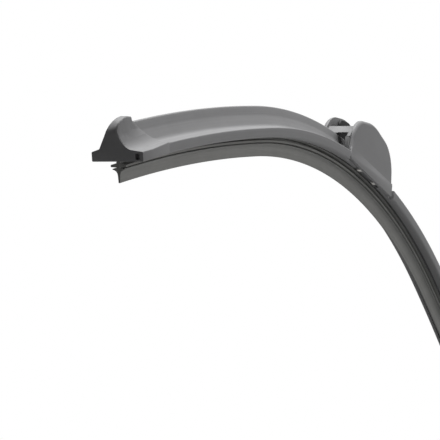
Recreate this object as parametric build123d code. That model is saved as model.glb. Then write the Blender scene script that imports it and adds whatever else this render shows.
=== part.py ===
"""Flat wiper blade: a bent rubber on two steel rails, with spoilers, end caps and an arm connector.

X runs along the blade, +Z points away from the glass and -Y is the hollow, windward side of the
spoiler. The origin is the middle of the pivot pin. A section is drawn as across (u) and height above
the wiping edge (v), and is carried along the bent edge by its distance s from the pin.
"""

import os
from math import cos, degrees, radians, sin

from build123d import *

# Bent wiping edge, in millimetres along the edge from the pin
HALF_LENGTH = 225.0
MID_REACH = 104.0
MID_RADIUS = 303.0
END_RADIUS = 985.0

# Rubber section, heights above the wiping edge
LIP_WIDTH = 0.66
LIP_ROOT_WIDTH = 0.9
LIP_HEIGHT = 2.6
SHOULDER_WIDTH = 4.8
SHOULDER_HEIGHT = 4.75
SHOULDER_RIM = 0.3
NECK_WIDTH = 1.0
NECK_HEIGHT = 5.2
FIN_ROOT_LOW = 5.5
FIN_WIDTH = 6.0
FIN_TIP_HEIGHT = 5.65
FIN_TIP = 0.8
FIN_ROOT_TOP = 6.8
WEB_WIDTH = 1.5
STRIP_HEIGHT = 0.75
STRIP_WIDTH = 7.8
HEAD_WIDTH = 5.8
HEAD_HEIGHT = 1.2

# Steel rails
RAIL_HEIGHT = 8.3
RAIL_THICKNESS = 0.9
RAIL_WIDTH = 4.6
RAIL_GAP = 2.8
RAIL_PLAY = 0.05

# Spoiler section
JAW_THICKNESS = 0.8
JAW_GRIP = 0.9
JAW_WALL = 0.8
SKIRT = 8.8
REAR_SKIRT = 7.0
LEDGE_HEIGHT = 11.35
LEDGE_WIDTH = 6.2
LEDGE_RISE = 0.6
CREST_HEIGHT = 20.0
CREST_FRONT = 0.3
CREST_WIDTH = 1.6
CREST_RIM = 0.65
HOLLOW_ROUND = 2.0
KNEE_ACROSS = 0.5
KNEE_DROP = 3.45
KNEE_ROUND = 5.0
REAR_FOOT_INSET = 1.1
REAR_FOOT_RISE = 0.6
SKIRT_RIM = 0.5
SKIRT_ROUND = 0.8
TONGUE_HALF = 6.0
FRONT_GAP = 0.9
TAIL_GAP = 0.3
CORE_START = 13.5
CORE_SIDE_GAP = 0.3

# End caps, seen on the end face and at the mouth over the spoiler
CAP_LENGTH = 22.0
CAP_CREST_LENGTH = 11.7
CAP_TONGUE_END = 10.7
CAP_END_WALL = 2.4
CAP_SKIN = 0.7
CAP_FRONT_REACH = 9.9
CAP_REAR_REACH = 10.2
CAP_FLANGE = 3.4
CAP_FOOT = 7.1
CAP_FOOT_RISE = 1.0
CAP_HOLLOW = 3.6
CAP_HOLLOW_RISE = 0.9
CAP_HOLLOW_ROUND = 6.0
CAP_KNEE = 1.0
CAP_KNEE_HEIGHT = 17.6
CAP_CREST_RISE = 2.6
CAP_RIM = 0.4
DOME_LENGTH = 8.5
DOME_FALL = 5.6
DOME_SPREAD = 2.0
DOME_KNEE_FALL = 2.2
DOME_STEPS = 5
CAP_RECESS_WIDTH = 1.7
CAP_RECESS_HEIGHT = 2.2
CAP_RECESS_DEPTH = 2.0
CAP_RECESS_ACROSS = 7.7
SEAT_PLAY = 0.08

# Pivot and the arm's hook
PIN_HEIGHT = 22.0
PIN_RADIUS = 2.5
PIN_FIT = 0.02
PIN_PLAY = 0.05
HOOK_WIDTH = 9.0
HOOK_PLAY = 0.2

# Base on the rails
BASE_HALF = 11.5
BASE_PLATE = 1.2
CLAW_PITCH = 17.6
CLAW_WIDTH = 2.8
CLAW_WALL = 0.8
EAR_THICKNESS = 1.0
EAR_HALF = 4.6

# Cover, heights above the wiping edge
CHEEK_SKIN = 1.0
CHEEK_FRONT = 26.2
CHEEK_BOTTOM = 7.5
CHEEK_BROW = 22.3
CHEEK_BROW_HEIGHT = 26.2
CHEEK_BROW_ROUND = 14.0
CHEEK_PEAK = -2.0
CHEEK_PEAK_HEIGHT = 31.2
CHEEK_PEAK_ROUND = 30.0
CHEEK_SHOULDER = 23.2
CHEEK_SHOULDER_HEIGHT = 26.9
CHEEK_SHOULDER_ROUND = 16.0
CHEEK_BACK = 26.7
CHEEK_BACK_HEIGHT = 12.0
CHEEK_BACK_ROUND = 4.0
CHEEK_TAIL = 25.7
CHEEK_TAIL_HEIGHT = 6.6
CHEEK_REAR_RISE = 1.8
CHEEK_CORNER = 1.0
CHEEK_RIM = 1.5
BAND_HEIGHT = 12.8
BAND_FLARE = 0.6
FLOOR_THICKNESS = 1.2
FLOOR_HALF = 12.3
BRIDGE_FRONT = 25.6
BRIDGE_THICKNESS = 1.9
BRIDGE_LEAN = 4.6
BRIDGE_BOTTOM = 17.4
BRIDGE_TOP = 23.6
BRIDGE_ROUND = 0.6
NOTCH_NEAR = 4.9
NOTCH_TOP = 20.6
WALL_GAP = 0.4
POST_LOW = 12.1
POST_FRONT = 25.2
POST_BACK = 22.6

# Hook adapter
ADAPTER_WALL = 0.9
ADAPTER_SIDE_PLAY = 0.25
BARREL_RADIUS = 4.0
NOSE_REACH = 11.6
NOSE_TOP = 3.4
NOSE_BOTTOM = -3.8
NOSE_PANEL = 1.3
NOSE_ROUND = 1.5
NOSE_TAPER = 3.4
WALL_BOTTOM = -5.2
WALL_BROW = 6.0
WALL_BROW_ROUND = 3.0
WALL_PEAK = 7.9
WALL_PEAK_ROUND = 8.0
WALL_BACK = 5.6
TAIL_REACH = 11.8
TAIL_ROUND = 3.0

# Worked out from the values above
RAIL_TOP = RAIL_HEIGHT + RAIL_THICKNESS
RAIL_OUT = RAIL_GAP / 2 + RAIL_WIDTH
SEAT_LOW = RAIL_HEIGHT - RAIL_PLAY
SEAT_TOP = RAIL_TOP + RAIL_PLAY
SEAT_OUT = RAIL_OUT + RAIL_PLAY
STRIP_LOW = SEAT_LOW - STRIP_HEIGHT
HEAD_TOP = SEAT_TOP + HEAD_HEIGHT
HEAD_ROOM_HALF = HEAD_WIDTH / 2 + RAIL_PLAY
HEAD_ROOM_TOP = HEAD_TOP + RAIL_PLAY
JAW_LOW = SEAT_LOW - JAW_THICKNESS
JAW_IN = SEAT_OUT - JAW_GRIP
JAW_OUT = SEAT_OUT + JAW_WALL
JAW_TOP = SEAT_TOP + JAW_THICKNESS
CREST_REAR = CREST_FRONT + CREST_WIDTH
CAP_LOW = STRIP_LOW + SEAT_PLAY
CAP_END = HALF_LENGTH - CAP_END_WALL
CAP_MOUTH = HALF_LENGTH - CAP_LENGTH
TONGUE_TIP = HALF_LENGTH - CAP_TONGUE_END
CLAW_OUT = SEAT_OUT + CLAW_WALL
CHANNEL_HALF = (HOOK_WIDTH + HOOK_PLAY) / 2
ADAPTER_HALF = CHANNEL_HALF + ADAPTER_WALL
EAR_IN = ADAPTER_HALF + ADAPTER_SIDE_PLAY
EAR_OUT = EAR_IN + EAR_THICKNESS
CHEEK_OUT = EAR_OUT + SEAT_PLAY + CHEEK_SKIN
PLATE_TOP = HEAD_ROOM_TOP + BASE_PLATE
FLOOR_LOW = PLATE_TOP + SEAT_PLAY
FAR = 60.0


def edge_point(s):
    """Place on the wiping edge at distance s: x, z, lean in radians, bend radius and bend centre."""
    side = 1 if s >= 0 else -1
    turn = MID_REACH / MID_RADIUS
    if abs(s) <= MID_REACH:
        radius, lean, centre_x, centre_z = MID_RADIUS, s / MID_RADIUS, 0.0, -PIN_HEIGHT - MID_RADIUS
    else:
        radius = END_RADIUS
        lean = side * (turn + (abs(s) - MID_REACH) / END_RADIUS)
        centre_x = -side * (END_RADIUS - MID_RADIUS) * sin(turn)
        centre_z = -PIN_HEIGHT - MID_RADIUS - (END_RADIUS - MID_RADIUS) * cos(turn)
    return centre_x + radius * sin(lean), centre_z + radius * cos(lean), lean, radius, (centre_x, centre_z)


def section_plane(s):
    """Plane across the blade at distance s, with u across and v away from the glass."""
    x, z, lean, _, _ = edge_point(s)
    return Plane(origin=(x, 0, z), x_dir=(0, 1, 0), z_dir=(cos(lean), 0, -sin(lean)))


def side_plane(s):
    """Plane along the blade at distance s, with u along and v away from the glass, facing -Y."""
    x, z, lean, _, _ = edge_point(s)
    return Plane(origin=(x, 0, z), x_dir=(cos(lean), 0, -sin(lean)), z_dir=(0, -1, 0))


def carried(section, start, end):
    """Solid of a section carried along the bent edge from start to end."""
    stops = [start] + [stop for stop in (-MID_REACH, MID_REACH) if start < stop < end] + [end]
    solid = None
    for low, high in zip(stops, stops[1:]):
        _, _, _, radius, (centre_x, centre_z) = edge_point((low + high) / 2)
        axis = Axis((centre_x, 0, centre_z), (0, 1, 0))
        turn = degrees((high - low) / radius)
        run = revolve(section_plane(low) * section, axis=axis, revolution_arc=turn)
        solid = run if solid is None else solid + run
    return solid


def outline(*corners):
    """Closed outline of (u, v, corner radius) points."""
    sketch = make_face(Polyline(*[(u, v) for u, v, _ in corners], close=True))
    for u, v, radius in corners:
        if radius:
            corner = sketch.vertices().sort_by_distance((u, v, 0))[0]
            sketch = fillet(corner, radius)
    return sketch


def block(half_width, low, high):
    """Rectangle centred across the blade between two heights."""
    corners = [(-half_width, low), (half_width, low), (half_width, high), (-half_width, high)]
    return make_face(Polyline(*corners, close=True))


def both_sides(half):
    """A half section and its mirror image across the blade."""
    return half + mirror(half, about=Plane.YZ)


def wiping_section():
    """Lip, shoulder, neck and fin below the caps."""
    lip = LIP_WIDTH / 2
    root = LIP_ROOT_WIDTH / 2
    shoulder = SHOULDER_WIDTH / 2
    lines = [
        Polyline((0, 0), (lip, 0), (root, LIP_HEIGHT)),
        TangentArc((root, LIP_HEIGHT), (shoulder, SHOULDER_HEIGHT), tangent=(0, 1)),
        Polyline(
            (shoulder, SHOULDER_HEIGHT),
            (shoulder, SHOULDER_HEIGHT + SHOULDER_RIM),
            (NECK_WIDTH / 2, NECK_HEIGHT),
            (NECK_WIDTH / 2, FIN_ROOT_LOW),
            (FIN_WIDTH / 2, FIN_TIP_HEIGHT),
            (FIN_WIDTH / 2, FIN_TIP_HEIGHT + FIN_TIP),
            (WEB_WIDTH / 2, FIN_ROOT_TOP),
            (WEB_WIDTH / 2, STRIP_LOW),
            (0, STRIP_LOW),
            (0, 0),
        ),
    ]
    return both_sides(make_face(lines))


def head_section():
    """Strip, web and head that hold the rails."""
    web = RAIL_GAP / 2 - RAIL_PLAY
    strip = block(STRIP_WIDTH / 2, STRIP_LOW, SEAT_LOW)
    head = block(HEAD_WIDTH / 2, SEAT_TOP, HEAD_TOP)
    return strip + block(web, SEAT_LOW, SEAT_TOP) + head


def wiper_rubber():
    """Rubber whose head stops inside the caps, and whose lip runs to their end faces."""
    wiping = carried(wiping_section(), -HALF_LENGTH, HALF_LENGTH)
    return wiping + carried(head_section(), -CAP_END + RAIL_PLAY, CAP_END - RAIL_PLAY)


def rail(side):
    """One spring rail, lying in the head's groove on that side."""
    near, far = side * RAIL_GAP / 2, side * RAIL_OUT
    corners = [(near, RAIL_HEIGHT), (far, RAIL_HEIGHT), (far, RAIL_TOP), (near, RAIL_TOP)]
    section = make_face(Polyline(*corners, close=True))
    return carried(section, -CAP_END + RAIL_PLAY, CAP_END - RAIL_PLAY)


def spoiler_outline(grow=0.0):
    """Outer line of the spoiler: skirts, ledge, hollow front, crest and straight rear slope."""
    skirt = SKIRT + grow
    rear = REAR_SKIRT + grow
    ledge = LEDGE_HEIGHT + grow
    crest = CREST_HEIGHT + grow
    return outline(
        (CREST_FRONT - grow, crest, CREST_RIM), (CREST_REAR + grow, crest, CREST_RIM),
        (rear - REAR_FOOT_INSET, ledge + REAR_FOOT_RISE, 0), (rear, ledge, SKIRT_RIM),
        (rear, JAW_LOW, SKIRT_ROUND), (-skirt, JAW_LOW, SKIRT_ROUND), (-skirt, ledge, SKIRT_RIM),
        (LEDGE_WIDTH - skirt, ledge + LEDGE_RISE, HOLLOW_ROUND),
        (-KNEE_ACROSS - grow, crest - KNEE_DROP, KNEE_ROUND))


def rail_seat(low):
    """Space for the rails and the rubber's head, open downwards between the jaws to a low height."""
    seat = block(SEAT_OUT, SEAT_LOW, SEAT_TOP) + block(HEAD_ROOM_HALF, SEAT_LOW, HEAD_ROOM_TOP)
    return seat + block(JAW_IN, low, SEAT_LOW)


def tongue_outline(grow=0.0):
    """Middle of the spoiler's outer line above the rails, as it goes inside a cap."""
    return spoiler_outline(grow) & block(TONGUE_HALF + grow, SEAT_TOP, FAR)


def spoiler(side):
    """One spoiler length: a narrow core under the cover, the full section and a tongue in the cap."""
    start = CHEEK_FRONT + FRONT_GAP if side < 0 else CHEEK_BACK + TAIL_GAP
    jawed = spoiler_outline() - rail_seat(JAW_LOW - 1)
    core = block(JAW_OUT, JAW_LOW, JAW_TOP) + block(EAR_IN - CORE_SIDE_GAP, SEAT_TOP, FAR)
    tongue = tongue_outline() - block(HEAD_ROOM_HALF, SEAT_LOW, HEAD_ROOM_TOP)
    spans = [
        (jawed & core, CORE_START, start + 1),
        (jawed, start, CAP_MOUTH - SEAT_PLAY),
        (tongue, CAP_MOUTH - 1, TONGUE_TIP - SEAT_PLAY),
    ]
    solid = None
    for section, low, high in spans:
        run = carried(section, low, high) if side > 0 else carried(section, -high, -low)
        solid = run if solid is None else solid + run
    return solid


def cap_outline(flange, rear_foot, hollow, knee, crest):
    """Outer line of a cap: flange (front, rear, top), rear foot, hollow, knee and crest (front, rear, top)."""
    front, rear, flange_top = flange
    crest_front, crest_rear, height = crest
    return outline(
        (crest_front, height, CREST_RIM), (crest_rear, height, CREST_RIM), (*rear_foot, 0),
        (rear, flange_top, CAP_RIM), (rear, CAP_LOW, CAP_RIM), (-front, CAP_LOW, CAP_RIM),
        (-front, flange_top, CAP_RIM), (*hollow, CAP_HOLLOW_ROUND), (*knee, 0))


def cap_end(fall):
    """Outer line of a cap under its dome, where the crest has come down by a share of the dome's fall."""
    flange_top = CAP_LOW + CAP_FLANGE
    crest = CREST_HEIGHT + CAP_CREST_RISE - fall * DOME_FALL
    return cap_outline(
        (CAP_FRONT_REACH, CAP_REAR_REACH, flange_top), (CAP_FOOT, flange_top + CAP_FOOT_RISE),
        (-CAP_HOLLOW, flange_top + CAP_HOLLOW_RISE), (-CAP_KNEE, CAP_KNEE_HEIGHT - fall * DOME_KNEE_FALL),
        (CREST_FRONT - (1 - fall) * CAP_SKIN, CREST_REAR + CAP_SKIN + fall * DOME_SPREAD, crest))


def cap_mouth():
    """Outer line of a cap at its mouth, one skin outside the spoiler."""
    skirt = SKIRT + CAP_SKIN
    rear = REAR_SKIRT + CAP_SKIN
    ledge = LEDGE_HEIGHT + CAP_RIM
    crest = CREST_HEIGHT + CAP_SKIN
    return cap_outline(
        (skirt, rear, ledge), (rear - REAR_FOOT_INSET, ledge + REAR_FOOT_RISE),
        (LEDGE_WIDTH - skirt, ledge + LEDGE_RISE), (-KNEE_ACROSS - CAP_SKIN, crest - KNEE_DROP),
        (CREST_FRONT - CAP_SKIN, CREST_REAR + CAP_SKIN, crest))


def end_cap(side):
    """A cap with a domed, flared end, over the spoiler's tongue, the rails and the rubber's head."""
    tip = side * HALF_LENGTH
    sections = []
    for step in range(DOME_STEPS + 1):
        turn = radians(90 * step / DOME_STEPS)
        depth = DOME_LENGTH * (1 - cos(turn))
        sections.append(section_plane(tip - side * depth) * cap_end(1 - sin(turn)))
    sections.append(section_plane(side * CAP_MOUTH) * cap_mouth())
    solid = loft(sections, ruled=True)
    room = block(SEAT_OUT, SEAT_LOW, SEAT_TOP) + block(HEAD_ROOM_HALF, SEAT_LOW, HEAD_ROOM_TOP)
    room += block(STRIP_WIDTH / 2 + RAIL_PLAY, JAW_LOW - 1, SEAT_LOW)
    for section, end in ((tongue_outline(SEAT_PLAY), TONGUE_TIP), (room, CAP_END)):
        low, high = sorted((side * (CAP_MOUTH - 1), side * end))
        solid -= carried(section, low, high)
    low, top = LEDGE_HEIGHT + LEDGE_RISE + CAP_SKIN, CREST_HEIGHT + CAP_SKIN
    seam = make_face(Polyline(
        (-side * CAP_LENGTH, low), (-side * CAP_CREST_LENGTH, top),
        (-side * CAP_CREST_LENGTH, FAR), (-side * FAR, FAR), (-side * FAR, low), close=True))
    solid -= extrude(side_plane(tip) * seam, amount=FAR, both=True)
    recess_middle = CAP_LOW + CAP_FLANGE / 2
    recess = Pos(-CAP_RECESS_ACROSS, recess_middle) * Rectangle(CAP_RECESS_WIDTH, CAP_RECESS_HEIGHT)
    return solid - extrude(section_plane(tip) * recess, amount=-side * CAP_RECESS_DEPTH)


def connector_base():
    """Plate bent along the rails, with four claws round them and two ears for the pin."""
    plate = block(EAR_OUT, SEAT_TOP, PLATE_TOP) - block(HEAD_ROOM_HALF, SEAT_LOW, HEAD_ROOM_TOP)
    solid = carried(plate, -BASE_HALF, BASE_HALF)
    claw = block(CLAW_OUT, JAW_LOW, SEAT_TOP) - rail_seat(JAW_LOW - 1)
    for middle in (-CLAW_PITCH / 2, CLAW_PITCH / 2):
        solid += carried(claw, middle - CLAW_WIDTH / 2, middle + CLAW_WIDTH / 2)
    ear = block(EAR_HALF, SEAT_TOP - PIN_HEIGHT, 0) + Circle(EAR_HALF) - Circle(PIN_RADIUS + PIN_FIT)
    for side in (-1, 1):
        start = Plane(origin=(0, side * EAR_IN, 0), x_dir=(1, 0, 0), z_dir=(0, -1, 0))
        solid += extrude(start * ear, amount=-side * EAR_THICKNESS)
    return solid


def cheek_outline(rise):
    """Side line of a cheek: a dome, raised a little, over a straight lower edge that falls to a tail."""
    corners = [
        (-CHEEK_FRONT, CHEEK_BOTTOM, CHEEK_CORNER),
        (CHEEK_TAIL, CHEEK_TAIL_HEIGHT, CHEEK_CORNER),
        (CHEEK_BACK, CHEEK_BACK_HEIGHT, CHEEK_BACK_ROUND),
        (CHEEK_SHOULDER, CHEEK_SHOULDER_HEIGHT + rise, CHEEK_SHOULDER_ROUND),
        (CHEEK_PEAK, CHEEK_PEAK_HEIGHT + rise, CHEEK_PEAK_ROUND),
        (-CHEEK_BROW, CHEEK_BROW_HEIGHT + rise, CHEEK_BROW_ROUND),
    ]
    return outline(*[(x, height - PIN_HEIGHT, radius) for x, height, radius in corners])


def cheek_flare():
    """Section of a wedge that spreads the lower band of the cheeks towards their bottom edge."""
    inner, top = CHEEK_OUT - CHEEK_RIM, BAND_HEIGHT - PIN_HEIGHT
    low = CHEEK_TAIL_HEIGHT - PIN_HEIGHT
    return both_sides(make_face(Polyline(
        (inner, low), (CHEEK_OUT + BAND_FLARE, low), (CHEEK_OUT, top), (inner, top), close=True)))


def connector_cover():
    """Two domed cheeks joined by a floor over the base and a leaning front wall with a notch."""
    pocket = offset(block(EAR_HALF, -PIN_HEIGHT, 0) + Circle(EAR_HALF), SEAT_PLAY)
    floor_low = FLOOR_LOW - PIN_HEIGHT
    floor = block(FLOOR_HALF, floor_low, floor_low + FLOOR_THICKNESS)
    wall_low, wall_top = BRIDGE_BOTTOM - PIN_HEIGHT, BRIDGE_TOP - PIN_HEIGHT
    wall_back = -BRIDGE_FRONT + BRIDGE_THICKNESS
    wall = outline(
        (-BRIDGE_FRONT, wall_low, 0), (wall_back, wall_low, 0),
        (wall_back + BRIDGE_LEAN, wall_top, BRIDGE_ROUND),
        (BRIDGE_LEAN - BRIDGE_FRONT, wall_top, BRIDGE_ROUND))
    inside = EAR_IN + CHEEK_SKIN / 2
    posts = carried(block(inside, POST_LOW, BRIDGE_BOTTOM + BRIDGE_ROUND), -POST_FRONT, -POST_BACK)
    near = make_face(Polyline(
        (0, FLOOR_LOW), (-NOTCH_NEAR, FLOOR_LOW), (-NOTCH_NEAR, NOTCH_TOP), (0, NOTCH_TOP), close=True))
    way = spoiler_outline(WALL_GAP) + near
    front = extrude(Plane.XZ * wall, amount=inside, both=True) + posts
    front -= carried(way, -CHEEK_FRONT - 1, -CORE_START)
    solid = front + extrude(Plane.XZ * floor, amount=inside, both=True)
    for side in (-1, 1):
        start = Plane(origin=(0, side * EAR_IN, 0), x_dir=(1, 0, 0), z_dir=(0, -1, 0))
        rise = CHEEK_REAR_RISE if side > 0 else 0
        cheek = extrude(start * cheek_outline(rise), amount=-side * (CHEEK_OUT - EAR_IN))
        outer = cheek.faces().sort_by(Axis.Y)[-1 if side > 0 else 0]
        solid += fillet(outer.edges(), CHEEK_RIM)
    band = cheek_outline(0) & block(FAR, -PIN_HEIGHT, BAND_HEIGHT - PIN_HEIGHT)
    wedges = extrude(Plane.YZ * cheek_flare(), amount=FAR, both=True)
    solid += wedges & extrude(Plane.XZ * band, amount=FAR, both=True)
    pockets = extrude(Plane.XZ * pocket, amount=EAR_OUT + SEAT_PLAY, both=True)
    solid -= pockets - extrude(Plane.XZ * block(FAR, -FAR, FAR), amount=EAR_IN, both=True)
    room = block(CLAW_OUT + SEAT_PLAY, CHEEK_TAIL_HEIGHT - 1, FLOOR_LOW)
    return solid - carried(room, -CHEEK_FRONT - 1, CHEEK_BACK + 1)


def pivot_pin():
    """Plain pin, flush with the outer faces of the ears."""
    return extrude(Plane.XZ * Circle(PIN_RADIUS), amount=EAR_OUT, both=True)


def adapter_wall(rise):
    """Side view of one of the adapter's walls, whose top follows the cheek outside it."""
    return outline(
        (-NOSE_REACH, NOSE_BOTTOM, NOSE_ROUND), (-NOSE_REACH + NOSE_TAPER, WALL_BOTTOM, 0),
        (TAIL_REACH - TAIL_ROUND, WALL_BOTTOM, TAIL_ROUND), (TAIL_REACH, 0, TAIL_ROUND),
        (TAIL_REACH - TAIL_ROUND, WALL_BACK + rise, TAIL_ROUND),
        (CHEEK_PEAK, WALL_PEAK + rise, WALL_PEAK_ROUND), (-NOSE_REACH, WALL_BROW + rise, WALL_BROW_ROUND))


def hook_adapter():
    """Open clip that rocks on the pin: a barrel for the arm's hook between two side walls."""
    nose = adapter_wall(0) & outline(
        (-NOSE_REACH, NOSE_BOTTOM, 0), (-NOSE_REACH + NOSE_PANEL, NOSE_BOTTOM, 0),
        (-NOSE_REACH + NOSE_PANEL, NOSE_TOP, 0), (-NOSE_REACH, NOSE_TOP, 0))
    solid = extrude(Plane.XZ * (nose + Circle(BARREL_RADIUS)), amount=CHANNEL_HALF, both=True)
    for side, rise in ((-1, 0), (1, CHEEK_REAR_RISE)):
        start = Plane(origin=(0, side * CHANNEL_HALF, 0), x_dir=(1, 0, 0), z_dir=(0, -1, 0))
        solid += extrude(start * adapter_wall(rise), amount=-side * ADAPTER_WALL)
    return solid - extrude(Plane.XZ * Circle(PIN_RADIUS + PIN_PLAY), amount=FAR, both=True)


def build():
    """Every piece of the blade, by its node's name."""
    return {
        "wiper_rubber": wiper_rubber(),
        "front_rail": rail(-1),
        "rear_rail": rail(1),
        "spoiler_left": spoiler(-1),
        "spoiler_right": spoiler(1),
        "end_cap_left": end_cap(-1),
        "end_cap_right": end_cap(1),
        "connector_base": connector_base(),
        "connector_cover": connector_cover(),
        "pivot_pin": pivot_pin(),
        "hook_adapter": hook_adapter(),
    }


os.makedirs("parts", exist_ok=True)
for name, solid in build().items():
    export_step(solid, f"parts/{name}.step")
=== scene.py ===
"""Looks of a flat wiper blade: its rubber, rails, spoilers, end caps and arm connector.

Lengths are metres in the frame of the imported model: X along the blade, +Z away from the glass, -Y the
hollow, windward side of the spoiler, and the origin at the middle of the pivot pin.
"""

from __future__ import annotations

import logging
import math
from dataclasses import dataclass
from enum import Enum
from typing import Optional, Sequence, Union

import bmesh
import bpy
from mathutils import Matrix, Vector

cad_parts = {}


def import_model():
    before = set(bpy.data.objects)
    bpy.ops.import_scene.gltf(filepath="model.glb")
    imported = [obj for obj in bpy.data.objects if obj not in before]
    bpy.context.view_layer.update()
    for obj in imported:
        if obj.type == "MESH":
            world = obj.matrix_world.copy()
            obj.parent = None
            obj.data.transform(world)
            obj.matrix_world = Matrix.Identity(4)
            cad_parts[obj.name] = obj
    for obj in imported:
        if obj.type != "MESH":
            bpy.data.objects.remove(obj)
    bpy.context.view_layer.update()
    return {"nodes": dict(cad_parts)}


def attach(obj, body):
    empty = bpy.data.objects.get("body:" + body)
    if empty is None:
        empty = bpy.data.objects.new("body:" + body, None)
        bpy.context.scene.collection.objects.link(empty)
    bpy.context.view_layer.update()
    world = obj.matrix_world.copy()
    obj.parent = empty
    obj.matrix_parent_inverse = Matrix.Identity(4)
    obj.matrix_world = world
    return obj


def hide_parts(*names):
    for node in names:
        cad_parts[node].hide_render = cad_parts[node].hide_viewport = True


LOG = logging.getLogger("wiper_blade")
MM = 0.001
BLADE_BODY = "blade"
ALONG = "along"

Point = tuple[float, float]
Triple = tuple[float, float, float]
Colour = tuple[float, float, float]

UPWARDS: Point = (0, 1)
BEND_AXIS: Triple = (0, -1, 0)
BLACK: Colour = (0, 0, 0)
WHITE: Colour = (1, 1, 1)
NOISE_MEAN = 0.5


class Side(Enum):
    """The two ends of the blade, by the sign of X."""

    LEFT = -1
    RIGHT = 1

    @property
    def word(self) -> str:
        """The side's name as the nodes use it."""
        return self.name.lower()


class Coordinates(Enum):
    """Where a finish takes its pattern's place from."""

    OBJECT = "object"
    ALONG_BLADE = "along the blade"


# Distance of the spoilers' skirts from the pin, just past the cover's ends
SKIRT_START = {Side.LEFT: 27.1 * MM, Side.RIGHT: 27.0 * MM}


@dataclass(frozen=True)
class BladeLine:
    """Bent wiping edge: a tight arc under the pin and a flatter arc towards each end."""

    half_length: float = 225 * MM
    mid_reach: float = 104 * MM
    mid_radius: float = 303 * MM
    end_radius: float = 985 * MM
    pin_height: float = 22 * MM

    @property
    def mid_turn(self) -> float:
        """Angle from the middle of the blade to the end of the tight arc."""
        return self.mid_reach / self.mid_radius

    def centre(self, s: float) -> Vector:
        """Bend centre at a place on the edge.

        Args:
            s: Distance along the edge from the pin.

        Returns:
            The centre of the arc there, in the plane y = 0.
        """
        top = -self.pin_height - self.mid_radius
        if abs(s) <= self.mid_reach:
            return Vector((0, 0, top))
        extra = self.end_radius - self.mid_radius
        side = math.copysign(1, s)
        return Vector((-side * extra * math.sin(self.mid_turn), 0, top - extra * math.cos(self.mid_turn)))

    def radius(self, s: float) -> float:
        """Bend radius at a place on the edge."""
        return self.mid_radius if abs(s) <= self.mid_reach else self.end_radius

    def lean(self, s: float) -> float:
        """Angle by which the blade leans at a place on the edge.

        Args:
            s: Distance along the edge from the pin.

        Returns:
            The angle in radians, with the sign of the distance.
        """
        if abs(s) <= self.mid_reach:
            return s / self.mid_radius
        return math.copysign(self.mid_turn + (abs(s) - self.mid_reach) / self.end_radius, s)

    def place(self, s: float, across: float, height: float) -> Vector:
        """Point of the blade.

        Args:
            s: Distance along the edge from the pin.
            across: Distance across the blade, +Y.
            height: Height above the wiping edge.

        Returns:
            The point in the shared frame.
        """
        lean = self.lean(s)
        reach = self.radius(s) + height
        return self.centre(s) + Vector((reach * math.sin(lean), across, reach * math.cos(lean)))

    def locate(self, point: Vector) -> Point:
        """Distance along the edge and height above it of a point.

        Args:
            point: A point in the shared frame.

        Returns:
            The distance s from the pin and the height above the wiping edge.
        """
        arm = point - self.centre(0)
        lean = math.atan2(arm.x, arm.z)
        if abs(lean) <= self.mid_turn:
            return lean * self.mid_radius, math.hypot(arm.x, arm.z) - self.mid_radius
        side = math.copysign(1, lean)
        arm = point - self.centre(side * self.half_length)
        turn = abs(math.atan2(arm.x, arm.z)) - self.mid_turn
        return side * (self.mid_reach + turn * self.end_radius), math.hypot(arm.x, arm.z) - self.end_radius

    def spans(self, start: float, end: float) -> list[Point]:
        """Stretches of one bend each between two places on the edge."""
        stops = [start] + [stop for stop in (-self.mid_reach, self.mid_reach) if start < stop < end] + [end]
        return list(zip(stops, stops[1:]))


@dataclass(frozen=True)
class Corner:
    """A corner of a section's outline, with the radius it is rounded to."""

    across: float
    height: float
    radius: float = 0.0

    @property
    def place(self) -> Vector:
        """Where the corner is, across the blade and above the edge."""
        return Vector((self.across, self.height))

    @property
    def mirrored(self) -> "Corner":
        """The same corner on the other side of the blade."""
        return Corner(-self.across, self.height, self.radius)


def arc(centre: Vector, radius: float, first: float, last: float, steps: int) -> list[Point]:
    """Points of the shorter arc between two directions, both ends included.

    Args:
        centre: Middle of the arc's circle.
        radius: Radius of the circle.
        first: Direction of the first point from the centre, in radians.
        last: Direction of the last point.
        steps: Straight steps in the arc.

    Returns:
        The points in order.
    """
    turn = (last - first + math.pi) % math.tau - math.pi
    angles = [first + turn * step / steps for step in range(steps + 1)]
    return [(centre.x + radius * math.cos(angle), centre.y + radius * math.sin(angle)) for angle in angles]


def rounded(corners: Sequence[Corner], steps: int) -> list[Point]:
    """Closed outline with its rounded corners as arcs.

    Args:
        corners: Corners in order round the outline.
        steps: Straight steps in the arc of each rounded corner.

    Returns:
        Points of the outline, without repeating the first.
    """
    points: list[Point] = []
    for index, corner in enumerate(corners):
        here = corner.place
        if not corner.radius:
            points.append(tuple(here))
            continue
        to_back = (corners[index - 1].place - here).normalized()
        to_ahead = (corners[(index + 1) % len(corners)].place - here).normalized()
        half = to_back.angle(to_ahead) / 2
        centre = here + (to_back + to_ahead).normalized() * (corner.radius / math.sin(half))
        first = here + to_back * (corner.radius / math.tan(half)) - centre
        last = here + to_ahead * (corner.radius / math.tan(half)) - centre
        start, end = (math.atan2(arm.y, arm.x) for arm in (first, last))
        points.extend(arc(centre, corner.radius, start, end, steps))
    return points


def tangent_arc(start: Point, end: Point, heading: Point, steps: int) -> list[Corner]:
    """Inner points of an arc that leaves its start in a given direction.

    Args:
        start: Where the arc starts.
        end: Where it ends.
        heading: Its direction at the start, across and upwards.
        steps: Straight steps in the arc.

    Returns:
        The points between the two ends, from the start to the end.
    """
    away = Vector(heading).normalized()
    normal = Vector((-away.y, away.x))
    chord = Vector(end) - Vector(start)
    radius = chord.length_squared / (2 * chord.dot(normal))
    centre = Vector(start) + normal * radius
    first, last = (math.atan2(height - centre.y, across - centre.x) for across, height in (start, end))
    return [Corner(*point) for point in arc(centre, abs(radius), first, last, steps)[1:-1]]


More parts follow.
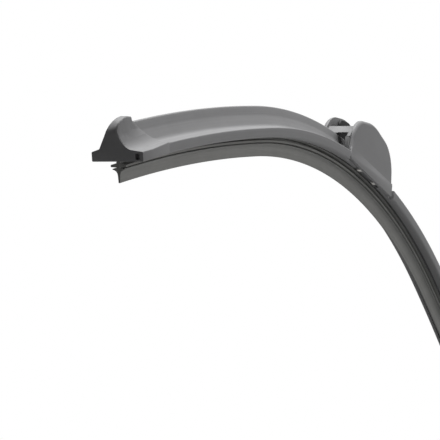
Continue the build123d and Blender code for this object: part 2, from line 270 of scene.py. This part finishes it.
def narrowed(corners: Sequence[Corner], half: float) -> list[Corner]:
    """Part of an open outline that lies within a half width of the middle.

    Args:
        corners: Corners in order, from outside the half width on one side to outside it on the other.
        half: Half width that is kept.

    Returns:
        The corners inside, with a new one where the outline crosses the half width.
    """
    kept: list[Corner] = []
    for near, far in zip(corners, corners[1:]):
        if abs(near.across) <= half:
            kept.append(near)
        if (abs(near.across) <= half) != (abs(far.across) <= half):
            edge = math.copysign(half, near.across + far.across)
            share = (edge - near.across) / (far.across - near.across)
            kept.append(Corner(edge, near.height + share * (far.height - near.height)))
    return kept


class Bench:
    """Blender's edit tools on one new piece, with nothing else selected."""

    seed: float = 1 * MM
    smooth_degrees: float = 32.0

    def __init__(self, name: str) -> None:
        """Starts an empty piece in edit mode.

        Args:
            name: The piece's name.
        """
        bpy.ops.object.select_all(action="DESELECT")
        bpy.ops.mesh.primitive_plane_add(size=self.seed)
        self.piece = bpy.context.object
        self.piece.name = name
        self.piece.data.name = name
        bpy.ops.object.mode_set(mode="EDIT")
        bpy.ops.mesh.select_mode(type="VERT")
        bpy.ops.mesh.select_all(action="SELECT")
        bpy.ops.mesh.delete(type="VERT")

    def count(self) -> int:
        """Vertices in the piece so far."""
        return len(bmesh.from_edit_mesh(self.piece.data).verts)

    def select(self, vertices: Sequence[int]) -> None:
        """Selects only some vertices and what lies between them.

        Args:
            vertices: Their indices.
        """
        mesh = bmesh.from_edit_mesh(self.piece.data)
        for vertex in mesh.verts:
            vertex.select = vertex.index in vertices
        mesh.select_flush_mode()
        mesh.select_flush(True)
        bmesh.update_edit_mesh(self.piece.data)

    def ring(self, points: Sequence[Vector]) -> range:
        """Draws a closed ring, one extruded vertex after another, and leaves it selected.

        Args:
            points: Places of the ring's vertices, in order.

        Returns:
            The indices of the ring's vertices.
        """
        first = self.count()
        bpy.ops.mesh.select_all(action="DESELECT")
        bpy.ops.mesh.primitive_plane_add(size=self.seed, location=points[0])
        bpy.ops.mesh.merge(type="CENTER")
        for near, far in zip(points, points[1:]):
            bpy.ops.mesh.extrude_vertices_move(TRANSFORM_OT_translate={"value": far - near})
        bmesh.from_edit_mesh(self.piece.data).verts.index_update()
        drawn = range(first, self.count())
        self.select((drawn[0], drawn[-1]))
        self.join()
        self.select(drawn)
        return drawn

    @staticmethod
    def join() -> None:
        """Joins two selected vertices with an edge, or closes a selected ring with a face."""
        bpy.ops.mesh.edge_face_add()

    def sweep(
        self, line: BladeLine, section: Sequence[Point], start: float, end: float, step: float
    ) -> None:
        """Spins a closed section along the bent edge and closes both ends.

        Args:
            line: The bent edge.
            section: Outline of the section, across and height.
            start: Where the sweep starts on the edge.
            end: Where it ends.
            step: Longest step along the edge.
        """
        first = self.ring([line.place(start, *point) for point in section])
        for low, high in line.spans(start, end):
            middle = (low + high) / 2
            bpy.ops.mesh.spin(
                steps=math.ceil((high - low) / step),
                angle=(high - low) / line.radius(middle),
                center=line.centre(middle),
                axis=BEND_AXIS,
            )
        self.join()
        self.select(first)
        self.join()

    def finish(self) -> bpy.types.Object:
        """Turns the faces outwards and smooths all but the sharp edges.

        Returns:
            The finished piece.
        """
        bpy.ops.mesh.select_all(action="SELECT")
        bpy.ops.mesh.normals_make_consistent(inside=False)
        bpy.ops.object.mode_set(mode="OBJECT")
        bpy.ops.object.shade_smooth_by_angle(angle=math.radians(self.smooth_degrees))
        return self.piece


Value = Union[float, "Link"]
Shade = Union[Colour, "Link"]


class Link:
    """An output in a node tree: a number, colour or vector; arithmetic on numbers adds Math nodes."""

    def __init__(self, board: "NodeBoard", socket: bpy.types.NodeSocket) -> None:
        """Wraps an output socket."""
        self.board = board
        self.socket = socket

    def _math(self, operation: str, first: Value, second: Value) -> "Link":
        """Adds a Math node for two values."""
        return self.board.add("ShaderNodeMath", {"operation": operation}, {0: first, 1: second})

    def __add__(self, other: Value) -> "Link":
        """Sum."""
        return self._math("ADD", self, other)

    def __radd__(self, other: Value) -> "Link":
        """Sum with a number first."""
        return self._math("ADD", other, self)

    def __sub__(self, other: Value) -> "Link":
        """Difference."""
        return self._math("SUBTRACT", self, other)

    def __rsub__(self, other: Value) -> "Link":
        """Difference from a number."""
        return self._math("SUBTRACT", other, self)

    def __mul__(self, other: Value) -> "Link":
        """Product."""
        return self._math("MULTIPLY", self, other)

    def __rmul__(self, other: Value) -> "Link":
        """Product with a number first."""
        return self._math("MULTIPLY", other, self)


@dataclass(frozen=True)
class Pattern:
    """A pattern of one width, drawn out along X where it has a length of its own."""

    width: float
    detail: float
    length: Optional[float] = None
    roughness: float = 0.5

    @property
    def scale(self) -> Triple:
        """Repeats per metre along each axis."""
        across = 1 / self.width
        return (1 / (self.length or self.width), across, across)


class NodeBoard:
    """The node tree of one new material or world."""

    # A Mix node's sockets for colours, which have the same names as its sockets for numbers
    colour_inputs: tuple[int, int] = (6, 7)
    colour_output: int = 2

    def __init__(self, owner: Union[bpy.types.Material, bpy.types.World]) -> None:
        """Starts with an empty tree.

        Args:
            owner: The new material or world.
        """
        owner.use_nodes = True
        self.owner = owner
        self.tree = owner.node_tree
        self.tree.nodes.clear()

    def node(self, kind: str, settings: dict, inputs: dict) -> bpy.types.Node:
        """Adds a node.

        Args:
            kind: The node's type.
            settings: Values of the node itself, set first; "stops" are the places of a ramp's two stops.
            inputs: Values or links of its sockets, by name or number.

        Returns:
            The node.
        """
        node = self.tree.nodes.new(kind)
        for key, value in settings.items():
            if key == "stops":
                for stop, place in zip(node.color_ramp.elements, value):
                    stop.position = place
            else:
                setattr(node, key, value)
        for key, value in inputs.items():
            if isinstance(value, Link):
                self.tree.links.new(value.socket, node.inputs[key])
            else:
                node.inputs[key].default_value = value
        return node

    def add(self, kind: str, settings: dict, inputs: dict, output: Union[int, str] = 0) -> Link:
        """Adds a node as the node method does, and hands back one of its outputs."""
        return Link(self, self.node(kind, settings, inputs).outputs[output])

    def place(self, coordinates: Coordinates, pattern: Pattern) -> Link:
        """Coordinates in which a pattern's repeat is one long each way.

        Args:
            coordinates: Where the pattern's place comes from.
            pattern: The pattern.

        Returns:
            The scaled vector.
        """
        if coordinates is Coordinates.ALONG_BLADE:
            source = self.add("ShaderNodeAttribute", {"attribute_name": ALONG}, {}, "Vector")
        else:
            source = self.add("ShaderNodeTexCoord", {}, {}, "Object")
        return self.add("ShaderNodeMapping", {}, {"Vector": source, "Scale": pattern.scale})

    def noise(self, coordinates: Coordinates, pattern: Pattern) -> Link:
        """Noise between 0 and 1.

        Args:
            coordinates: Where the pattern's place comes from.
            pattern: The noise's width, length, detail and roughness.

        Returns:
            The noise.
        """
        inputs = {"Scale": 1.0, "Detail": pattern.detail, "Roughness": pattern.roughness}
        return self.add("ShaderNodeTexNoise", {}, {"Vector": self.place(coordinates, pattern), **inputs})

    def pits(self, coordinates: Coordinates, pattern: Pattern) -> Link:
        """Distance from the middle of the nearest of many small pits.

        Args:
            coordinates: Where the pattern's place comes from.
            pattern: The pits' width.

        Returns:
            The distance, in pit widths.
        """
        inputs = {"Vector": self.place(coordinates, pattern), "Scale": 1.0}
        return self.add("ShaderNodeTexVoronoi", {"feature": "SMOOTH_F1"}, inputs, "Distance")

    def ramp(self, value: Link, band: Point) -> Link:
        """Zero below a band of values, one above it and a slope between."""
        return self.add("ShaderNodeValToRGB", {"stops": band}, {0: value})

    def blend(self, factor: Value, *shades: Shade) -> Link:
        """Mix of two colours.

        Args:
            factor: Share of the second colour.
            shades: The two colours.

        Returns:
            The mixed colour.
        """
        inputs = {"Factor": factor}
        for key, shade in zip(self.colour_inputs, shades):
            inputs[key] = shade if isinstance(shade, Link) else (*shade, 1)
        return self.add("ShaderNodeMix", {"data_type": "RGBA"}, inputs, self.colour_output)

    def bump(self, height: Link, strength: float, depth: float) -> Link:
        """Normal bent by a height pattern."""
        return self.add("ShaderNodeBump", {}, {"Height": height, "Strength": strength, "Distance": depth})

    def seen(self) -> Link:
        """Tells rays to the eye, also by way of metal or glass, from light that falls on a surface.

        Returns:
            One for rays to the eye, and zero for other rays.
        """
        rays = ("Is Camera Ray", "Is Glossy Ray", "Is Transmission Ray")
        straight, glossy, through = (self.add("ShaderNodeLightPath", {}, {}, ray) for ray in rays)
        return self.add("ShaderNodeMath", {"operation": "MINIMUM"}, {0: straight + glossy + through, 1: 1.0})

    def surface(self, colour: Link, roughness: Value, normal: Link, others: dict) -> bpy.types.Material:
        """Ends the tree with a surface.

        Args:
            colour: Base colour.
            roughness: Roughness.
            normal: Bent normal.
            others: Values or links of other sockets, by name.

        Returns:
            The material.
        """
        inputs = {"Base Color": colour, "Roughness": roughness, "Normal": normal, **others}
        shader = self.add("ShaderNodeBsdfPrincipled", {}, inputs)
        self.node("ShaderNodeOutputMaterial", {}, {"Surface": shader})
        return self.owner


def shared(share: float, first: Link, second: Link) -> Link:
    """Sum of two patterns, the first by its share and the second by the rest."""
    return share * first + (1 - share) * second


def swing(reach: float, noise: Link) -> Link:
    """A noise turned into a change both ways, with zero at the noise's mean."""
    return reach * (noise - NOISE_MEAN)


@dataclass(frozen=True)
class ExtrudedFinish:
    """Drawn rubber or elastomer: streaks along the blade, soft mottling and fine chalk specks."""

    name: str
    dark: Colour
    light: Colour
    chalk: Colour
    roughness: float
    specular: float
    streaks: Pattern = Pattern(0.9 * MM, 3.0, length=70 * MM)
    mottle: Pattern = Pattern(7 * MM, 4.0)
    grain: Pattern = Pattern(0.45 * MM, 2.0)
    streak_tone: float = 0.55
    tone_band: Point = (0.34, 0.66)
    speck_band: Point = (0.62, 0.74)
    speck_share: float = 0.35
    mottle_sheen: float = 0.12
    speck_sheen: float = 0.08
    streak_relief: float = 0.6
    relief: float = 0.5
    depth: float = 0.03 * MM

    def material(self) -> bpy.types.Material:
        """Builds the finish.

        Returns:
            The material, with its pattern along the blade.
        """
        board = NodeBoard(bpy.data.materials.new(self.name))
        along = Coordinates.ALONG_BLADE
        streaks = board.noise(along, self.streaks)
        mottle = board.noise(along, self.mottle)
        grain = board.noise(along, self.grain)
        tone = board.ramp(shared(self.streak_tone, streaks, mottle), self.tone_band)
        specks = board.ramp(grain, self.speck_band)
        colour = board.blend(tone, self.dark, self.light)
        colour = board.blend(self.speck_share * specks, colour, self.chalk)
        roughness = self.roughness + swing(self.mottle_sheen, mottle) + self.speck_sheen * specks
        normal = board.bump(shared(self.streak_relief, streaks, grain), self.relief, self.depth)
        return board.surface(colour, roughness, normal, {"Specular IOR Level": self.specular})


@dataclass(frozen=True)
class MouldedFinish:
    """Moulded plastic: an even spark-eroded grain and faint flow marks."""

    name: str
    dark: Colour
    light: Colour
    roughness: float
    specular: float
    grain: Pattern = Pattern(0.32 * MM, 3.0)
    flow: Pattern = Pattern(11 * MM, 3.0, length=27.5 * MM)
    flow_tone: float = 0.7
    tone_band: Point = (0.33, 0.67)
    flow_sheen: float = 0.14
    grain_sheen: float = 0.1
    pit_relief: float = 0.6
    relief: float = 0.45
    depth: float = 0.035 * MM

    def material(self) -> bpy.types.Material:
        """Builds the finish.

        Returns:
            The material.
        """
        board = NodeBoard(bpy.data.materials.new(self.name))
        here = Coordinates.OBJECT
        pits = board.pits(here, self.grain)
        grain = board.noise(here, self.grain)
        flow = board.noise(here, self.flow)
        tone = board.ramp(shared(self.flow_tone, flow, grain), self.tone_band)
        colour = board.blend(tone, self.dark, self.light)
        roughness = self.roughness + swing(self.flow_sheen, flow) + swing(self.grain_sheen, grain)
        normal = board.bump(shared(self.pit_relief, pits, grain), self.relief, self.depth)
        return board.surface(colour, roughness, normal, {"Specular IOR Level": self.specular})


@dataclass(frozen=True)
class SteelFinish:
    """Rolled or ground steel: fine lines one way, patches of plating and a brushed sheen."""

    name: str
    dark: Colour
    light: Colour
    roughness: float
    metallic: float
    lines: Pattern = Pattern(0.12 * MM, 2.0, length=30 * MM)
    patches: Pattern = Pattern(3 * MM, 4.0, roughness=0.6)
    line_tone: float = 0.5
    tone_band: Point = (0.3, 0.7)
    patch_sheen: float = 0.2
    line_sheen: float = 0.1
    relief: float = 0.3
    depth: float = 0.01 * MM

    def material(self) -> bpy.types.Material:
        """Builds the finish.

        Returns:
            The material.
        """
        board = NodeBoard(bpy.data.materials.new(self.name))
        here = Coordinates.OBJECT
        lines = board.noise(here, self.lines)
        patches = board.noise(here, self.patches)
        tone = board.ramp(shared(self.line_tone, lines, patches), self.tone_band)
        colour = board.blend(tone, self.dark, self.light)
        roughness = self.roughness + swing(self.patch_sheen, patches) + swing(self.line_sheen, lines)
        normal = board.bump(lines, self.relief, self.depth)
        return board.surface(colour, roughness, normal, {"Metallic": self.metallic})


@dataclass(frozen=True)
class Finishes:
    """Every finish on the blade."""

    rubber: ExtrudedFinish = ExtrudedFinish(
        "wiping_rubber",
        dark=(0.15, 0.15, 0.144),
        light=(0.185, 0.185, 0.178),
        chalk=(0.22, 0.22, 0.21),
        roughness=0.65,
        specular=0.15,
    )
    spoiler: ExtrudedFinish = ExtrudedFinish(
        "spoiler_elastomer",
        dark=(0.147, 0.147, 0.149),
        light=(0.173, 0.173, 0.175),
        chalk=(0.2, 0.2, 0.203),
        roughness=0.55,
        specular=0.15,
        mottle=Pattern(12 * MM, 4.0),
        speck_share=0.2,
    )
    moulded: MouldedFinish = MouldedFinish(
        "moulded_cover",
        dark=(0.142, 0.142, 0.144),
        light=(0.168, 0.168, 0.17),
        roughness=0.55,
        specular=0.15,
    )
    adapter: MouldedFinish = MouldedFinish(
        "adapter_acetal",
        dark=(0.018, 0.018, 0.019),
        light=(0.03, 0.03, 0.031),
        roughness=0.6,
        specular=0.12,
    )
    rail: SteelFinish = SteelFinish(
        "rail_coating",
        dark=(0.028, 0.028, 0.03),
        light=(0.05, 0.05, 0.053),
        roughness=0.45,
        metallic=0.6,
    )
    plated: SteelFinish = SteelFinish(
        "plated_base",
        dark=(0.36, 0.35, 0.33),
        light=(0.5, 0.49, 0.47),
        roughness=0.38,
        metallic=0.9,
    )
    ground: SteelFinish = SteelFinish(
        "ground_pin",
        dark=(0.45, 0.45, 0.45),
        light=(0.6, 0.6, 0.6),
        roughness=0.28,
        metallic=1.0,
    )


def dress(piece: bpy.types.Object, material: bpy.types.Material) -> None:
    """Gives a piece one material.

    Args:
        piece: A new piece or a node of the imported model.
        material: Its finish.
    """
    if piece.material_slots:
        for place in piece.material_slots:
            place.material = material
    else:
        piece.data.materials.append(material)


def seat(piece: bpy.types.Object, node: str) -> None:
    """Puts a new piece of the blade in a node's stead.

    Args:
        piece: The finished piece.
        node: The node that it stands for.
    """
    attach(piece, BLADE_BODY)
    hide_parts(node)
    LOG.info("%s stands for %s, %d faces", piece.name, node, len(piece.data.polygons))


@dataclass
class RailSeat:
    """Heights and half widths of the rails, of the room round them and of the rubber that holds them."""

    rail_low: float = 8.3 * MM
    rail_thickness: float = 0.9 * MM
    rail_out: float = 6.0 * MM
    play: float = 0.05 * MM
    head_half: float = 2.9 * MM
    head_height: float = 1.2 * MM
    strip_half: float = 3.9 * MM
    strip_height: float = 0.75 * MM

    @property
    def low(self) -> float:
        """Underside of the room for the rails."""
        return self.rail_low - self.play

    @property
    def top(self) -> float:
        """Upper side of the room for the rails."""
        return self.rail_low + self.rail_thickness + self.play

    @property
    def out(self) -> float:
        """Half width of the room for the rails."""
        return self.rail_out + self.play

    @property
    def strip_low(self) -> float:
        """Underside of the rubber's strip below the rails."""
        return self.low - self.strip_height

    @property
    def head_top(self) -> float:
        """Upper side of the rubber's head."""
        return self.top + self.head_height


@dataclass
class Extrusion:
    """A piece of the blade that is swept along the bent edge, next to the rails."""

    line: BladeLine
    rails: RailSeat

    def mark(self, piece: bpy.types.Object) -> None:
        """Stores on each vertex its distance along the edge, across the blade and above the edge.

        Args:
            piece: The finished piece.
        """
        marks = piece.data.attributes.new(ALONG, "FLOAT_VECTOR", "POINT")
        for vertex, mark in zip(piece.data.vertices, marks.data):
            s, height = self.line.locate(vertex.co)
            mark.vector = (s, vertex.co.y, height)

    def settle(self, bench: Bench, material: bpy.types.Material, node: str, slot: str) -> None:
        """Finishes the piece, dresses it and puts it in its node's stead.

        Args:
            bench: The bench with the piece's sweeps on it.
            material: Its finish.
            node: The node that it stands for.
            slot: Name of a material slot; not used.
        """
        piece = bench.finish()
        self.mark(piece)
        dress(piece, material)
        seat(piece, node)


@dataclass
class WipingStrip(Extrusion):
    """The rubber: lip, shoulder, neck and fin below the rails, and the head that holds them."""

    lip_half: float = 0.33 * MM
    lip_root_half: float = 0.45 * MM
    lip_height: float = 2.6 * MM
    shoulder_half: float = 2.4 * MM
    shoulder_height: float = 4.75 * MM
    shoulder_rim: float = 0.3 * MM
    neck_half: float = 0.5 * MM
    neck_height: float = 5.2 * MM
    fin_low: float = 5.5 * MM
    fin_half: float = 3.0 * MM
    fin_tip_height: float = 5.65 * MM
    fin_tip: float = 0.8 * MM
    fin_top: float = 6.8 * MM
    web_half: float = 0.75 * MM
    head_web_half: float = 1.35 * MM
    end_wall: float = 2.4 * MM
    edge_round: float = 0.1 * MM
    step: float = 2 * MM
    head_step: float = 4 * MM
    curve_steps: int = 6
    rim_steps: int = 2

    def flank(self) -> list[Corner]:
        """Flank of the wiping section, on the +Y side.

        Returns:
            Its corners, from the lip up to the strip.
        """
        root = (self.lip_root_half, self.lip_height)
        shoulder = (self.shoulder_half, self.shoulder_height)
        rim = self.edge_round
        return [
            Corner(self.lip_half, 0.0, rim),
            Corner(*root),
            *tangent_arc(root, shoulder, UPWARDS, self.curve_steps),
            Corner(*shoulder, rim),
            Corner(self.shoulder_half, self.shoulder_height + self.shoulder_rim, rim),
            Corner(self.neck_half, self.neck_height),
            Corner(self.neck_half, self.fin_low),
            Corner(self.fin_half, self.fin_tip_height, rim),
            Corner(self.fin_half, self.fin_tip_height + self.fin_tip, rim),
            Corner(self.web_half, self.fin_top),
            Corner(self.web_half, self.rails.strip_low),
        ]

    def head(self) -> list[Corner]:
        """Strip, web and head that hold the rails, on the +Y side.

        Returns:
            Its corners, from the strip up to the head.
        """
        rails = self.rails
        return [
            Corner(rails.strip_half, rails.strip_low, self.edge_round),
            Corner(rails.strip_half, rails.low, self.edge_round),
            Corner(self.head_web_half, rails.low),
            Corner(self.head_web_half, rails.top),
            Corner(rails.head_half, rails.top),
            Corner(rails.head_half, rails.head_top, self.edge_round),
        ]

    def section(self, half: Sequence[Corner]) -> list[Point]:
        """Closed outline of the +Y side and its mirror image."""
        return rounded([*half, *(corner.mirrored for corner in reversed(half))], self.rim_steps)

    def build(self, material: bpy.types.Material) -> None:
        """Makes the rubber in its node's place.

        Args:
            material: Its finish.
        """
        bench = Bench("rubber_strip")
        outer = self.line.half_length
        inner = outer - self.end_wall - self.rails.play
        bench.sweep(self.line, self.section(self.flank()), -outer, outer, self.step)
        bench.sweep(self.line, self.section(self.head()), -inner, inner, self.head_step)
        self.settle(bench, material, "wiper_rubber", "wiping_rubber")


@dataclass
class Spoiler(Extrusion):
    """One spoiler length: a core under the cover, jaws round the rails, skirts, and a tongue in the cap."""

    side: Side
    skirt_start: float
    skirt: float = 8.8 * MM
    rear_skirt: float = 7.0 * MM
    skirt_rim: float = 0.5 * MM
    skirt_round: float = 0.8 * MM
    jaw: float = 0.8 * MM
    jaw_grip: float = 0.9 * MM
    jaw_rim: float = 0.12 * MM
    ledge: float = 11.35 * MM
    ledge_width: float = 6.2 * MM
    ledge_rise: float = 0.6 * MM
    crest: float = 20.0 * MM
    crest_front: float = 0.3 * MM
    crest_rear: float = 1.9 * MM
    crest_rim: float = 0.65 * MM
    hollow_round: float = 2.0 * MM
    knee: float = 0.5 * MM
    knee_drop: float = 3.45 * MM
    knee_round: float = 5.0 * MM
    foot_inset: float = 1.1 * MM
    foot_rise: float = 0.6 * MM
    core_start: float = 13.5 * MM
    core_half: float = 5.45 * MM
    tongue_half: float = 6.0 * MM
    cap_length: float = 22 * MM
    tongue_end: float = 10.7 * MM
    cap_play: float = 0.08 * MM
    step: float = 2 * MM
    rim_steps: int = 5

    @property
    def jaw_low(self) -> float:
        """Underside of the jaws and skirts."""
        return self.rails.low - self.jaw

    def crown(self) -> list[Corner]:
        """Outline above the ledge.

        Returns:
            Its corners, from the rear skirt over the crest to the front skirt.
        """
        return [
            Corner(self.rear_skirt, self.ledge, self.skirt_rim),
            Corner(self.rear_skirt - self.foot_inset, self.ledge + self.foot_rise),
            Corner(self.crest_rear, self.crest, self.crest_rim),
            Corner(self.crest_front, self.crest, self.crest_rim),
            Corner(-self.knee, self.crest - self.knee_drop, self.knee_round),
            Corner(self.ledge_width - self.skirt, self.ledge + self.ledge_rise, self.hollow_round),
            Corner(-self.skirt, self.ledge, self.skirt_rim),
        ]

    def head_room(self) -> list[Corner]:
        """Room over the rubber's head, on one side."""
        half = self.rails.head_half + self.rails.play
        return [Corner(half, self.rails.top), Corner(half, self.rails.head_top + self.rails.play)]

    def jaws(self, *outer: Corner) -> list[Corner]:
        """One side's outline below the crown, from the outside round the rail's room to the head's.

        Args:
            outer: The corners on the outside, from the crown down.

        Returns:
            All corners of that side, down the outside and up the inside.
        """
        grip = self.rails.out - self.jaw_grip
        return [
            *outer,
            Corner(grip, self.jaw_low, self.jaw_rim),
            Corner(grip, self.rails.low),
            Corner(self.rails.out, self.rails.low),
            Corner(self.rails.out, self.rails.top),
            *self.head_room(),
        ]

    def closed(
        self, crown: Sequence[Corner], front: Sequence[Corner], rear: Sequence[Corner]
    ) -> list[Point]:
        """A crown, and below it the outlines of both sides, as one closed outline.

        Args:
            crown: The outline above the ledge, from the rear to the front.
            front: The front side's corners, from the outside in, drawn as on the rear.
            rear: The rear side's corners, from the outside in.

        Returns:
            The points all round.
        """
        return rounded([*crown, *(corner.mirrored for corner in front), *reversed(rear)], self.rim_steps)

    def full(self) -> list[Point]:
        """Section with skirts, between the cover and the cap."""
        rims = [Corner(half, self.jaw_low, self.skirt_round) for half in (self.skirt, self.rear_skirt)]
        return self.closed(self.crown(), *map(self.jaws, rims))

    def core(self) -> list[Point]:
        """Section without skirts, under the cover.

        Returns:
            The points all round.
        """
        out = self.rails.out + self.jaw
        top = self.rails.top + self.jaw
        side = self.jaws(Corner(self.core_half, top), Corner(out, top), Corner(out, self.jaw_low))
        return self.closed(narrowed(self.crown(), self.core_half), side, side)

    def tongue(self) -> list[Point]:
        """Section above the rails, inside the cap."""
        side = [Corner(self.tongue_half, self.rails.top), *self.head_room()]
        return self.closed(narrowed(self.crown(), self.tongue_half), side, side)

    def build(self, material: bpy.types.Material) -> None:
        """Makes the spoiler in its node's place.

        Args:
            material: Its finish.
        """
        bench = Bench(f"spoiler_run_{self.side.word}")
        mouth = self.line.half_length - self.cap_length - self.cap_play
        end = self.line.half_length - self.tongue_end - self.cap_play
        runs = [
            (self.core(), self.core_start, self.skirt_start),
            (self.full(), self.skirt_start, mouth),
            (self.tongue(), mouth, end),
        ]
        for section, near, far in runs:
            low, high = sorted((self.side.value * near, self.side.value * far))
            bench.sweep(self.line, section, low, high, self.step)
        self.settle(bench, material, f"spoiler_{self.side.word}", "spoiler_grey")


@dataclass
class Moulding:
    """A moulded piece as the mould gives it: rounds without steps and sharp edges broken."""

    node: str
    slot: str
    rim: float = 0.18 * MM
    rim_steps: int = 2
    rim_degrees: float = 35.0
    weld: float = 0.003 * MM
    flat_degrees: float = 0.6

    def build(self, source: bpy.types.Object, material: bpy.types.Material) -> None:
        """Makes the piece in its node's place, from a copy of the node.

        The copy is welded and its flat faces are joined, so that only real edges are broken.

        Args:
            source: The node that it is taken from.
            material: Its finish.
        """
        bpy.ops.object.select_all(action="DESELECT")
        piece = bpy.data.objects.new(f"{self.node}_moulding", source.data.copy())
        bpy.context.scene.collection.objects.link(piece)
        piece.select_set(True)
        bpy.context.view_layer.objects.active = piece
        bpy.ops.object.mode_set(mode="EDIT")
        bpy.ops.mesh.select_all(action="SELECT")
        bpy.ops.mesh.remove_doubles(threshold=self.weld)
        bpy.ops.mesh.dissolve_limited(angle_limit=math.radians(self.flat_degrees))
        bpy.ops.object.mode_set(mode="OBJECT")
        rim = piece.modifiers.new("rim", "BEVEL")
        rim.limit_method = "ANGLE"
        rim.angle_limit = math.radians(self.rim_degrees)
        rim.width = self.rim
        rim.segments = self.rim_steps
        bpy.ops.object.modifier_apply(modifier=rim.name)
        bpy.ops.object.shade_smooth_by_angle(angle=math.radians(self.rim_degrees))
        dress(piece, material)
        seat(piece, self.node)


@dataclass(frozen=True)
class Lamp:
    """A soft square lamp that faces the pivot pin, with its power in watts."""

    name: str
    place: Triple
    size: float
    power: float

    def hang(self) -> None:
        """Hangs the lamp and turns it to the pin."""
        place = Vector(self.place)
        bpy.ops.object.light_add(type="AREA", location=place)
        lamp = bpy.context.object
        lamp.name = self.name
        lamp.data.size = self.size
        lamp.data.energy = self.power
        lamp.rotation_euler = (-place).to_track_quat("-Z", "Y").to_euler()


@dataclass(frozen=True)
class Studio:
    """Camera at the photograph's angle, pale floor and soft light.

    The floor and the white behind it are bright to the eye, and give the blade only a little light.
    """

    camera_place: Triple = (-923.5 * MM, -379.1 * MM, -319.7 * MM)
    camera_forward: Triple = (0.8696, 0.4145, 0.2684)
    camera_down: Triple = (0.2982, -0.0078, -0.9545)
    lens: float = 195.9
    sensor: float = 36.0
    view_depth: float = 20.0
    floor_height: float = -420 * MM
    floor_side: float = 8.0
    floor_dark: Colour = (0.84, 0.84, 0.84)
    floor_light: Colour = (0.87, 0.87, 0.87)
    floor_mottle: Pattern = Pattern(125 * MM, 3.0)
    floor_roughness: float = 0.8
    floor_relief: float = 0.1
    floor_depth: float = 1 * MM
    floor_bounce: Colour = (0.15, 0.15, 0.15)
    floor_glow: Colour = (0.5, 0.5, 0.5)
    ambient: float = 0.08
    lamps: tuple[Lamp, ...] = (
        Lamp("top_lamp", (-0.25, 0.15, 1.2), size=0.6, power=37),
        Lamp("front_lamp", (0.1, -1.5, 0.2), size=1.2, power=14),
    )

    def camera(self) -> None:
        """Places the camera."""
        place = Vector(self.camera_place)
        forward = Vector(self.camera_forward)
        bpy.ops.object.camera_add(location=place)
        camera = bpy.context.object
        camera.name = "camera"
        camera.data.lens = self.lens
        camera.data.sensor_width = self.sensor
        camera.data.clip_end = self.view_depth
        back = -forward.normalized()
        right = forward.cross(-Vector(self.camera_down)).normalized()
        axes = Matrix((right, back.cross(right), back)).transposed()
        camera.matrix_world = Matrix.Translation(place) @ axes.to_4x4()
        bpy.context.scene.camera = camera

    def floor(self) -> None:
        """Lays the pale floor below the blade and the camera."""
        bpy.ops.mesh.primitive_plane_add(size=self.floor_side, location=(0, 0, self.floor_height))
        floor = bpy.context.object
        floor.name = "floor"
        board = NodeBoard(bpy.data.materials.new("pale_floor"))
        seen = board.seen()
        mottle = board.noise(Coordinates.OBJECT, self.floor_mottle)
        pale = board.blend(mottle, self.floor_dark, self.floor_light)
        colour = board.blend(seen, self.floor_bounce, pale)
        glow = board.blend(seen, BLACK, self.floor_glow)
        normal = board.bump(mottle, self.floor_relief, self.floor_depth)
        emission = {"Emission Color": glow, "Emission Strength": 1.0}
        dress(floor, board.surface(colour, self.floor_roughness, normal, emission))

    def world(self) -> None:
        """White behind the blade, and a dim even light on it."""
        board = NodeBoard(bpy.data.worlds.new("studio"))
        bpy.context.scene.world = board.owner
        strength = self.ambient + (1 - self.ambient) * board.seen()
        shader = board.add("ShaderNodeBackground", {}, {"Color": (*WHITE, 1), "Strength": strength})
        board.node("ShaderNodeOutputWorld", {}, {"Surface": shader})

    def build(self) -> None:
        """Sets up the whole studio."""
        bpy.context.scene.view_settings.view_transform = "Standard"
        self.world()
        self.floor()
        self.camera()
        for lamp in self.lamps:
            lamp.hang()


def main() -> None:
    """Builds the blade's looks, piece by piece."""
    logging.basicConfig(level=logging.INFO, format="%(name)s: %(message)s")
    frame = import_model()
    nodes = frame["nodes"]
    finishes = Finishes()
    line = BladeLine()
    rails = RailSeat()
    Studio().build()
    WipingStrip(line, rails).build(finishes.rubber.material())
    elastomer = finishes.spoiler.material()
    for side, start in SKIRT_START.items():
        Spoiler(line, rails, side, start).build(elastomer)
    moulded = finishes.moulded.material()
    for name in ("connector_cover", "end_cap_left", "end_cap_right"):
        Moulding(name, "moulded_grey").build(nodes[name], moulded)
    coating = finishes.rail.material()
    kept = {
        "front_rail": coating,
        "rear_rail": coating,
        "connector_base": finishes.plated.material(),
        "pivot_pin": finishes.ground.material(),
        "hook_adapter": finishes.adapter.material(),
    }
    for name, material in kept.items():
        dress(nodes[name], material)
        LOG.info("%s kept, finish %s", name, material.name)


if __name__ == "__main__":
    main()
